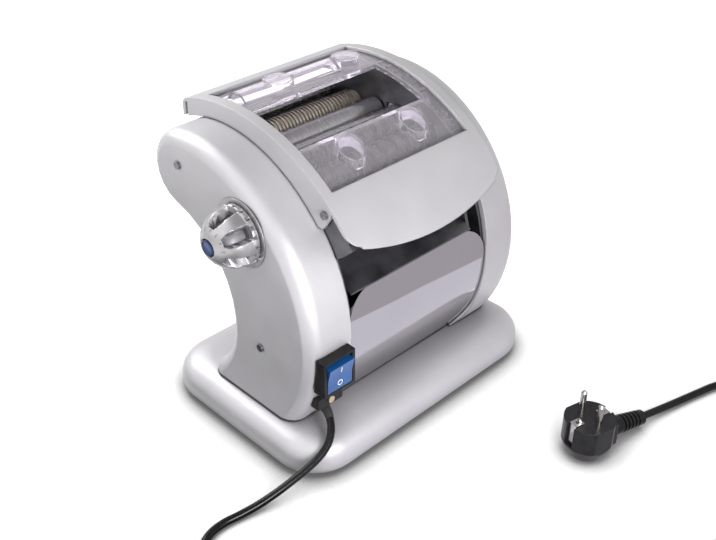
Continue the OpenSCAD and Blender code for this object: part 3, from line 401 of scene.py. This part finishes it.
def makeSeam(name, place, facing):
    # painted shade: a thin dark line round the section of a piece, for the shadow in the gap where it stands
    cut = bmesh.new()
    cut.from_mesh(nodes[name].data)
    bmesh.ops.remove_doubles(cut, verts=cut.verts, dist=0.00001)
    bmesh.ops.bisect_plane(
        cut, geom=cut.verts[:] + cut.edges[:] + cut.faces[:], plane_co=place, plane_no=facing,
        clear_inner=True, clear_outer=True)
    # start on the outer loop, at the point farthest from the middle of the depth
    start = max(cut.verts, key=lambda vert: abs(vert.co.y - 0.05))
    path, last = [start], None
    while True:
        nexts = [edge.other_vert(path[-1]) for edge in path[-1].link_edges]
        step = nexts[0] if nexts[0] is not last else nexts[1]
        if step is start:
            break
        last = path[-1]
        path.append(step)
    curve = bpy.data.curves.new("seam", "CURVE")
    curve.dimensions = "3D"
    curve.bevel_depth = seam["thick"] / 2000
    curve.bevel_resolution = 2
    spline = curve.splines.new("POLY")
    spline.points.add(len(path) - 1)
    for point, vert in zip(spline.points, path):
        point.co = (*vert.co, 1)
    spline.use_cyclic_u = True
    cut.free()
    obj = link(bpy.data.objects.new("seam", curve))
    mesh = bpy.data.meshes.new_from_object(obj.evaluated_get(bpy.context.evaluated_depsgraph_get()))
    bpy.data.objects.remove(obj)
    bpy.data.curves.remove(curve)
    return mesh


# painted shade: dark lines at the housings' feet and where they meet the middle
def makeSeams():
    bm = bmesh.new()
    foot, side = seam["foot"] / 1000, seam["side"] / 1000
    cuts = [(name, Vector((0, 0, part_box(name)[0][2] + foot)), (0, 0, 1)) for name in seam["standing"]]
    cuts.append(("left_housing", Vector((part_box("left_housing")[1][0] - side, 0, 0)), (1, 0, 0)))
    cuts.append(("right_housing", Vector((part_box("right_housing")[0][0] + side, 0, 0)), (1, 0, 0)))
    for name, place, facing in cuts:
        mesh = makeSeam(name, place, facing)
        bm.from_mesh(mesh)
        bpy.data.meshes.remove(mesh)
    mesh = bpy.data.meshes.new("housingSeamShadows")
    bm.to_mesh(mesh)
    bm.free()
    seamShadows = link(bpy.data.objects.new("housingSeamShadows", mesh))
    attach(seamShadows, "frame")
    return seamShadows


housingSeamShadows = makeSeams()

print("rocker marks")
rockerMark = {"bar": (0.4, 2.4), "ring": (1.7, 2.4), "apart": 6.2, "around": 32}


def makeRockerMarks():
    low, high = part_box("switch_rocker")
    middle = Vector(((low[0] + high[0]) / 2, low[1] - 0.004, (low[2] + high[2]) / 2))
    across, up = Vector((1, 0, 0)), Vector((0, 0, 1))
    bm = bmesh.new()
    top = middle + up * rockerMark["apart"] / 1000
    w, h = rockerMark["bar"]
    bm.faces.new([
        bm.verts.new(top + across * x / 1000 + up * z / 1000) for x, z in ((-w, -h), (w, -h), (w, h), (-w, h))])
    foot = middle - up * rockerMark["apart"] / 1000
    around = rockerMark["around"]
    rings = []
    for r in rockerMark["ring"]:
        turns = [2 * math.pi * k / around for k in range(around)]
        rings.append([bm.verts.new(foot + (across * math.cos(a) + up * math.sin(a)) * r / 1000) for a in turns])
    inner, outer = rings
    for k in range(around):
        j = (k + 1) % around
        bm.faces.new((inner[k], inner[j], outer[j], outer[k]))
    return layMarks("rockerMarks", bm, nodes["switch_rocker"], lambda co: Vector((0, 1, 0)), "rocker")


rockerMarks = makeRockerMarks()

print("materials")


def newMaterial(name, colour, metal=0.0, rough=0.5, **sockets):
    material = bpy.data.materials.new(name)
    material.use_nodes = True
    shader = material.node_tree.nodes["Principled BSDF"]
    shader.inputs["Base Color"].default_value = (*colour, 1)
    shader.inputs["Metallic"].default_value = metal
    shader.inputs["Roughness"].default_value = rough
    for socket, value in sockets.items():
        shader.inputs[socket.replace("_", " ")].default_value = value
    return material


def addNoise(material, scale, detail=4.0, stretch=(1, 1, 1), rough=0.5):
    tree = material.node_tree
    place = tree.nodes.new("ShaderNodeTexCoord")
    mapping = tree.nodes.new("ShaderNodeMapping")
    mapping.inputs["Scale"].default_value = stretch
    noise = tree.nodes.new("ShaderNodeTexNoise")
    noise.inputs["Scale"].default_value = scale
    noise.inputs["Detail"].default_value = detail
    noise.inputs["Roughness"].default_value = rough
    tree.links.new(place.outputs["Object"], mapping.inputs["Vector"])
    tree.links.new(mapping.outputs["Vector"], noise.inputs["Vector"])
    return noise.outputs["Fac"]


def ramp(material, source, low, high, fromLow=0.3, fromHigh=0.7):
    node = material.node_tree.nodes.new("ShaderNodeMapRange")
    node.inputs["From Min"].default_value = fromLow
    node.inputs["From Max"].default_value = fromHigh
    node.inputs["To Min"].default_value = low
    node.inputs["To Max"].default_value = high
    material.node_tree.links.new(source, node.inputs["Value"])
    return node.outputs["Result"]


def mixColours(material, source, dark, pale):
    node = material.node_tree.nodes.new("ShaderNodeMix")
    node.data_type = "RGBA"
    node.inputs["A"].default_value = (*dark, 1)
    node.inputs["B"].default_value = (*pale, 1)
    material.node_tree.links.new(source, node.inputs["Factor"])
    return node.outputs["Result"]


def feed(material, output, socket):
    material.node_tree.links.new(output, material.node_tree.nodes["Principled BSDF"].inputs[socket])


def addBump(material, source, height, strength=1.0, edge=0.0):
    node = material.node_tree.nodes.new("ShaderNodeBump")
    node.inputs["Distance"].default_value = height
    node.inputs["Strength"].default_value = strength
    material.node_tree.links.new(source, node.inputs["Height"])
    if edge:
        soft = material.node_tree.nodes.new("ShaderNodeBevel")  # broken edges
        soft.samples = 4
        soft.inputs["Radius"].default_value = edge
        material.node_tree.links.new(soft.outputs["Normal"], node.inputs["Normal"])
    feed(material, node.outputs["Normal"], "Normal")


def darkenCreases(material, colour, reach, darkest):
    # painted shade: the colour falls off where another piece stands close, by an ambient occlusion node
    tree = material.node_tree
    near = tree.nodes.new("ShaderNodeAmbientOcclusion")
    near.inputs["Distance"].default_value = reach
    near.samples = 6
    shade = tree.nodes.new("ShaderNodeMapRange")
    shade.inputs["From Min"].default_value = 0.3
    shade.inputs["From Max"].default_value = 0.85
    shade.inputs["To Min"].default_value = darkest
    darker = tree.nodes.new("ShaderNodeVectorMath")
    darker.operation = "SCALE"
    tree.links.new(near.outputs["AO"], shade.inputs["Value"])
    tree.links.new(colour, darker.inputs["Vector"])
    tree.links.new(shade.outputs["Result"], darker.inputs["Scale"])
    return darker.outputs["Vector"]


def tinted(
        name, dark, pale, metal, rough, scale, bumpScale=0.0, bumpHeight=0.0, stretch=(1, 1, 1), edge=0.0,
        crease=(), **sockets):
    # colour and roughness that vary a little, and a fine bump
    material = newMaterial(name, pale, metal, rough[0], **sockets)
    cloud = addNoise(material, scale, 3.0, stretch)
    colour = mixColours(material, ramp(material, cloud, 0, 1), dark, pale)
    # painted shade: the colour darkens near neighbouring pieces
    if crease:
        colour = darkenCreases(material, colour, *crease)
    feed(material, colour, "Base Color")
    feed(material, ramp(material, cloud, rough[0], rough[1]), "Roughness")
    if bumpHeight:
        addBump(material, addNoise(material, bumpScale, 2.0, stretch), bumpHeight, 1.0, edge)
    return material


paint = (
    (0.53, 0.52, 0.54), (0.57, 0.56, 0.58), 0.55, (0.44, 0.52), 24, 1800, 0.00002, (1, 1, 1), 0.0012)
# painted shade: the paints darken near other pieces, within 3 mm on the housings and 28 mm on the base
satinPaint = tinted("satinSilverPaint", *paint, crease=(0.003, 0.12), Specular_IOR_Level=0.25)
basePaint = tinted("satinSilverBase", *paint, crease=(0.028, 0.5), Specular_IOR_Level=0.25)
mirrorChrome = tinted("mirrorChrome", (0.56, 0.55, 0.57), (0.60, 0.59, 0.61), 1.0, (0.03, 0.06), 12)
rollerSteel = tinted(
    "groundRollerSteel", (0.34, 0.33, 0.34), (0.46, 0.45, 0.46), 1.0, (0.16, 0.28), 160, 900, 0.00001, (8, 1, 1))
cutterSteel = tinted(
    "machinedCutterSteel", (0.42, 0.38, 0.33), (0.58, 0.54, 0.48), 1.0, (0.24, 0.38), 120, 700, 0.00001, (6, 1, 1))
# the plates' own dark steel, made darker still as painted shade for the inside of the machine
plateSteelAndShade = tinted("plateSteelWithShade", (0.11, 0.11, 0.12), (0.18, 0.18, 0.19), 1.0, (0.34, 0.5), 60, 600, 0.00001)
screwSteel = tinted("platedScrewSteel", (0.20, 0.20, 0.21), (0.34, 0.34, 0.35), 1.0, (0.2, 0.32), 300, 900, 0.00001)
bronze = tinted("turnedBronze", (0.55, 0.36, 0.16), (0.72, 0.52, 0.28), 1.0, (0.25, 0.4), 200, 800, 0.00001)
gearSteel = tinted("gearSteel", (0.28, 0.28, 0.29), (0.42, 0.42, 0.43), 1.0, (0.3, 0.42), 200, 800, 0.00001)
gearNylon = tinted("gearNylon", (0.74, 0.72, 0.66), (0.82, 0.81, 0.76), 0.0, (0.4, 0.5), 90, 700, 0.00001)
darkCutterSteel = tinted(
    "darkCutterSteel", (0.035, 0.033, 0.032), (0.09, 0.085, 0.08), 1.0, (0.22, 0.34), 120, 700, 0.00001, (6, 1, 1))
castAlloy = tinted("castAlloy", (0.46, 0.46, 0.47), (0.58, 0.58, 0.59), 0.9, (0.45, 0.6), 80, 700, 0.00004)
blackEnamel = tinted("blackEnamel", (0.02, 0.02, 0.022), (0.035, 0.035, 0.038), 0.2, (0.3, 0.42), 70, 500, 0.00001)
knobAlloy = tinted(
    "satinKnobAlloy", (0.36, 0.35, 0.36), (0.48, 0.47, 0.48), 0.85, (0.3, 0.4), 90, 900, 0.000015,
    edge=0.0006)
# painted shade: a darker colour in the knob's scoops
knobScoopShade = tinted("knobScoopPaintedShade", (0.13, 0.13, 0.14), (0.2, 0.2, 0.21), 0.8, (0.4, 0.55), 150, 900, 0.00003)
navyPlastic = tinted("navyPlastic", (0.004, 0.012, 0.06), (0.008, 0.02, 0.09), 0.0, (0.2, 0.3), 60, 500, 0.000005)
bluePlastic = tinted(
    "bluePlastic", (0.006, 0.055, 0.20), (0.012, 0.085, 0.28), 0.0, (0.2, 0.28), 60, 500, 0.000005, Coat_Weight=0.3)
blackPlastic = tinted(
    "blackPlastic", (0.006, 0.006, 0.0065), (0.014, 0.014, 0.015), 0.0, (0.26, 0.36), 90, 900, 0.00001,
    edge=0.0005, Specular_IOR_Level=0.22)
rubber = tinted("softRubber", (0.012, 0.012, 0.012), (0.024, 0.024, 0.024), 0.0, (0.55, 0.7), 120, 900, 0.00002)
greyPlastic = tinted("greyPlastic", (0.16, 0.16, 0.17), (0.2, 0.2, 0.21), 0.0, (0.4, 0.5), 90, 800, 0.00001)
brass = tinted("platedBrass", (0.6, 0.5, 0.3), (0.75, 0.66, 0.45), 1.0, (0.2, 0.3), 200, 800, 0.00001)
plugPlastic = tinted(
    "grainedPlugPlastic", (0.006, 0.006, 0.0065), (0.014, 0.014, 0.015), 0.0, (0.26, 0.4), 120, 1600, 0.00002,
    edge=0.0005, Specular_IOR_Level=0.35)
pinNickel = tinted("nickelPins", (0.46, 0.45, 0.43), (0.58, 0.56, 0.54), 1.0, (0.14, 0.24), 200, 800, 0.000006)
markWhite = tinted("printedWhite", (0.74, 0.75, 0.77), (0.82, 0.83, 0.84), 0.0, (0.4, 0.5), 400)
markGrey = tinted("engravedGrey", (0.10, 0.10, 0.12), (0.16, 0.16, 0.18), 0.2, (0.5, 0.6), 400)
cableSkin = tinted(
    "cableSkin", (0.003, 0.003, 0.0035), (0.007, 0.007, 0.0075), 0.0, (0.16, 0.22), 150, 1200, 0.00001,
    Specular_IOR_Level=0.2)


def clearMaterial():
    # moulded acrylic with a trace of haze and flow lines; lamps shine through it
    material = newMaterial(
        "clearAcrylic", (0.95, 0.91, 0.98), 0.0, 0.02, IOR=1.5, Transmission_Weight=0.92, Specular_IOR_Level=0.3)
    addBump(material, addNoise(material, 14, 2.0, (0.4, 14, 14)), 0.00016)
    tree = material.node_tree
    shader = tree.nodes["Principled BSDF"]
    through = tree.nodes.new("ShaderNodeBsdfTransparent")
    through.inputs["Color"].default_value = (0.93, 0.93, 0.94, 1)
    rays = tree.nodes.new("ShaderNodeLightPath")
    mix = tree.nodes.new("ShaderNodeMixShader")
    tree.links.new(rays.outputs["Is Shadow Ray"], mix.inputs["Fac"])
    tree.links.new(shader.outputs["BSDF"], mix.inputs[1])
    tree.links.new(through.outputs["BSDF"], mix.inputs[2])
    tree.links.new(mix.outputs["Shader"], tree.nodes["Material Output"].inputs["Surface"])
    return material


clearAcrylic = clearMaterial()

nodeLooks = {
    satinPaint: ["left_housing", "right_housing", "rear_panel", "hood"],
    basePaint: ["base_shell"],
    mirrorChrome: ["front_panel"],
    clearAcrylic: ["clear_guard"],
    rollerSteel: ["fixed_roller", "moving_roller"],
    cutterSteel: ["fine_cutter_front", "fine_cutter_rear"],
    darkCutterSteel: ["wide_cutter_front", "wide_cutter_rear"],
    plateSteelAndShade: [
        "base_plate", "left_frame_plate", "right_frame_plate", "gear_plate", "adjuster_plate", "outlet_chute",
        "fine_comb", "wide_comb"],
    screwSteel: [
        "base_screws", "housing_screws", "tie_rods", "frame_screws", "hood_screws", "axle_pins", "knob_spindle",
        "rocker_pin"],
    bronze: ["roller_bushes", "adjuster_cam"],
    gearSteel: [
        "fixed_roller_gear", "moving_roller_gear", "fine_front_gear", "fine_rear_gear", "wide_rear_gear",
        "wide_front_gear", "motor_pinion"],
    gearNylon: ["main_gear", "idler_gear"],
    castAlloy: ["roller_carriage", "gearbox"],
    blackEnamel: ["motor"],
    knobAlloy: ["dial_ring"],
    bluePlastic: ["switch_rocker"],
    blackPlastic: ["switch_bezel", "cord_clamp"],
    rubber: ["rubber_feet", "strain_relief"],
    greyPlastic: ["switch_body"],
    brass: ["clamp_screw"],
    plugPlastic: ["plug_body"],
    pinNickel: ["plug_pins", "earth_contacts"],
    cableSkin: ["plug_boot"],
}


def dressNode(name, material, angle=32):
    # smooth faces with sharp edges kept where they turn by more than the angle
    obj = nodes[name]
    obj.data.materials.clear()
    obj.data.materials.append(material)
    obj.data.polygons.foreach_set("use_smooth", [True] * len(obj.data.polygons))
    weld = obj.modifiers.new("weld", "WELD")
    weld.merge_threshold = 0.00002
    crease = obj.modifiers.new("crease", "EDGE_SPLIT")
    crease.split_angle = math.radians(angle)
    even = obj.modifiers.new("even", "WEIGHTED_NORMAL")
    even.keep_sharp = True


for material, names in nodeLooks.items():
    for name in names:
        dressNode(name, material)
dressed = [
    (mainsCord, [cableSkin]), (knobGrip, [knobAlloy, knobScoopShade]), (knobButton, [bluePlastic, navyPlastic]),
    (knobDigits, [markGrey]), (rockerMarks, [markWhite]), (housingSeamShadows, [rubber]), (coilTie, [rubber]),
]
for piece, coats in dressed:
    for material in coats:
        piece.data.materials.append(material)

print("stage")
stage = {
    "floor": 0.5,
    "floorReach": 6.0,
    "lift": 0.97,
    "shadow": 0.1,
    "shadowReach": 0.06,
    "world": 0.44,
    "seenWhite": 1.0,
    "ceiling": 0.5,
    "aim": (-40, 0, 110),
}


def addMath(tree, operation, first, second):
    # either input is an output to link or a plain number
    node = tree.nodes.new("ShaderNodeMath")
    node.operation = operation
    for socket, value in zip(node.inputs, (first, second)):
        if isinstance(value, (int, float)):
            socket.default_value = value
        else:
            tree.links.new(value, socket)
    return node.outputs[0]


def seenRays(tree):
    # 1 for what the camera sees, also in metal and through the clear guard
    rays = tree.nodes.new("ShaderNodeLightPath").outputs
    seen = addMath(tree, "MAXIMUM", rays["Is Camera Ray"], rays["Is Glossy Ray"])
    return addMath(tree, "MAXIMUM", seen, rays["Is Transmission Ray"])


def makeFloor():
    mesh = bpy.data.meshes.new("floor")
    reach = stage["floorReach"]
    corners = [(-reach, -reach, 0), (reach, -reach, 0), (reach, reach, 0), (-reach, reach, 0)]
    mesh.from_pydata(corners, [], [(0, 1, 2, 3)])
    floor = link(bpy.data.objects.new("floor", mesh))
    floor.location.z = -0.0003
    material = bpy.data.materials.new("paleFloor")
    material.use_nodes = True
    tree = material.node_tree
    tree.nodes.clear()
    out = tree.nodes.new("ShaderNodeOutputMaterial")
    matt = tree.nodes.new("ShaderNodeBsdfDiffuse")
    glow = tree.nodes.new("ShaderNodeEmission")
    total = tree.nodes.new("ShaderNodeAddShader")
    # painted shadow: darker close to what stands on it, from an ambient occlusion node
    near = tree.nodes.new("ShaderNodeAmbientOcclusion")
    near.inputs["Distance"].default_value = stage["shadowReach"]
    near.samples = 8
    shade = tree.nodes.new("ShaderNodeMapRange")
    shade.inputs["From Min"].default_value = 0.45
    shade.inputs["To Min"].default_value = stage["shadow"]
    tree.links.new(near.outputs["AO"], shade.inputs["Value"])
    shadow = shade.outputs["Result"]
    tree.links.new(addMath(tree, "MULTIPLY", shadow, stage["floor"]), matt.inputs["Color"])
    level = addMath(tree, "MULTIPLY", seenRays(tree), stage["lift"])
    tree.links.new(addMath(tree, "MULTIPLY", level, shadow), glow.inputs["Strength"])
    tree.links.new(matt.outputs[0], total.inputs[0])
    tree.links.new(glow.outputs[0], total.inputs[1])
    tree.links.new(total.outputs[0], out.inputs["Surface"])
    mesh.materials.append(material)


# Painted reflections: glowing cards that only shiny surfaces see, a grey for each, and its corners
cards = {
    "farFloor": [(0.56, 0.52, 0.57), (-145, -1800, 0), (1500, -1800, 0), (1500, -174, 0), (-145, -174, 0)],
    "nearFloor": [(0.86, 0.84, 0.92), (-145, -172, 0), (700, -172, 0), (700, -90, 0), (-145, -90, 0)],
    "lowScreen": [(0.86, 0.84, 0.92), (-145, -172, 0), (224, -172, 0), (224, -172, 1), (-145, -172, 80)],
    "screen": [(0.56, 0.52, 0.57), (-145, -172, 80), (224, -172, 1), (224, -172, 260), (-145, -172, 260)],
    "leftNear": [(0.16, 0.16, 0.17), (-230, -600, 0), (-145, -600, 0), (-145, 500, 0), (-230, 500, 0)],
    "leftFar": [(0.42, 0.41, 0.43), (-330, -600, 0), (-230, -600, 0), (-230, 500, 0), (-330, 500, 0)],
}


def makeCards():
    for name, (grey, *corners) in cards.items():
        mesh = bpy.data.meshes.new(name)
        mesh.from_pydata([at(x, y, z + 0.2) for x, y, z in corners], [], [(0, 1, 2, 3)])
        obj = link(bpy.data.objects.new(name, mesh))
        obj.visible_camera = obj.visible_shadow = obj.visible_diffuse = obj.visible_transmission = False
        material = bpy.data.materials.new(name + "Shade")
        material.use_nodes = True
        tree = material.node_tree
        tree.nodes.clear()
        glow = tree.nodes.new("ShaderNodeEmission")
        glow.inputs["Color"].default_value = (*grey, 1)
        out = tree.nodes.new("ShaderNodeOutputMaterial")
        tree.links.new(glow.outputs[0], out.inputs["Surface"])
        mesh.materials.append(material)


def makeWorld():
    world = bpy.data.worlds.new("studio")
    world.use_nodes = True
    tree = world.node_tree
    back = tree.nodes["Background"]
    # white round the horizon, darker overhead like a studio ceiling
    place = tree.nodes.new("ShaderNodeTexCoord")
    split = tree.nodes.new("ShaderNodeSeparateXYZ")
    fade = tree.nodes.new("ShaderNodeMapRange")
    fade.interpolation_type = "SMOOTHSTEP"
    fade.inputs["From Min"].default_value = 0.35
    fade.inputs["From Max"].default_value = 0.95
    fade.inputs["To Min"].default_value = 1.0
    fade.inputs["To Max"].default_value = stage["ceiling"]
    tree.links.new(place.outputs["Generated"], split.inputs["Vector"])
    tree.links.new(split.outputs["Z"], fade.inputs["Value"])
    tree.links.new(fade.outputs["Result"], back.inputs["Color"])
    level = tree.nodes.new("ShaderNodeMapRange")
    level.inputs["To Min"].default_value = stage["world"]
    level.inputs["To Max"].default_value = stage["seenWhite"]
    tree.links.new(seenRays(tree), level.inputs["Value"])
    tree.links.new(level.outputs[0], back.inputs["Strength"])
    bpy.context.scene.world = world


lamps = {
    "front": {"place": (-170, -460, 250), "size": 200, "power": 2.6},
    "left": {"place": (-640, 60, 820), "size": 900, "power": 2.6},
    "top": {"place": (-200, 100, 1100), "size": 700, "power": 0.4},
    "back": {"place": (-150, 700, 720), "size": 500, "power": 5.2},
}


def makeLamps():
    for name, lamp in lamps.items():
        data = bpy.data.lights.new(name, "AREA")
        data.size = lamp["size"] / 1000
        data.energy = lamp["power"]
        obj = link(bpy.data.objects.new(name, data))
        obj.location = at(*lamp["place"])
        obj.rotation_euler = (at(*stage["aim"]) - obj.location).to_track_quat("-Z", "Y").to_euler()


makeFloor()
makeCards()
makeWorld()
makeLamps()
bpy.context.scene.view_settings.view_transform = "Standard"

print("done")
bpy.context.view_layer.update()
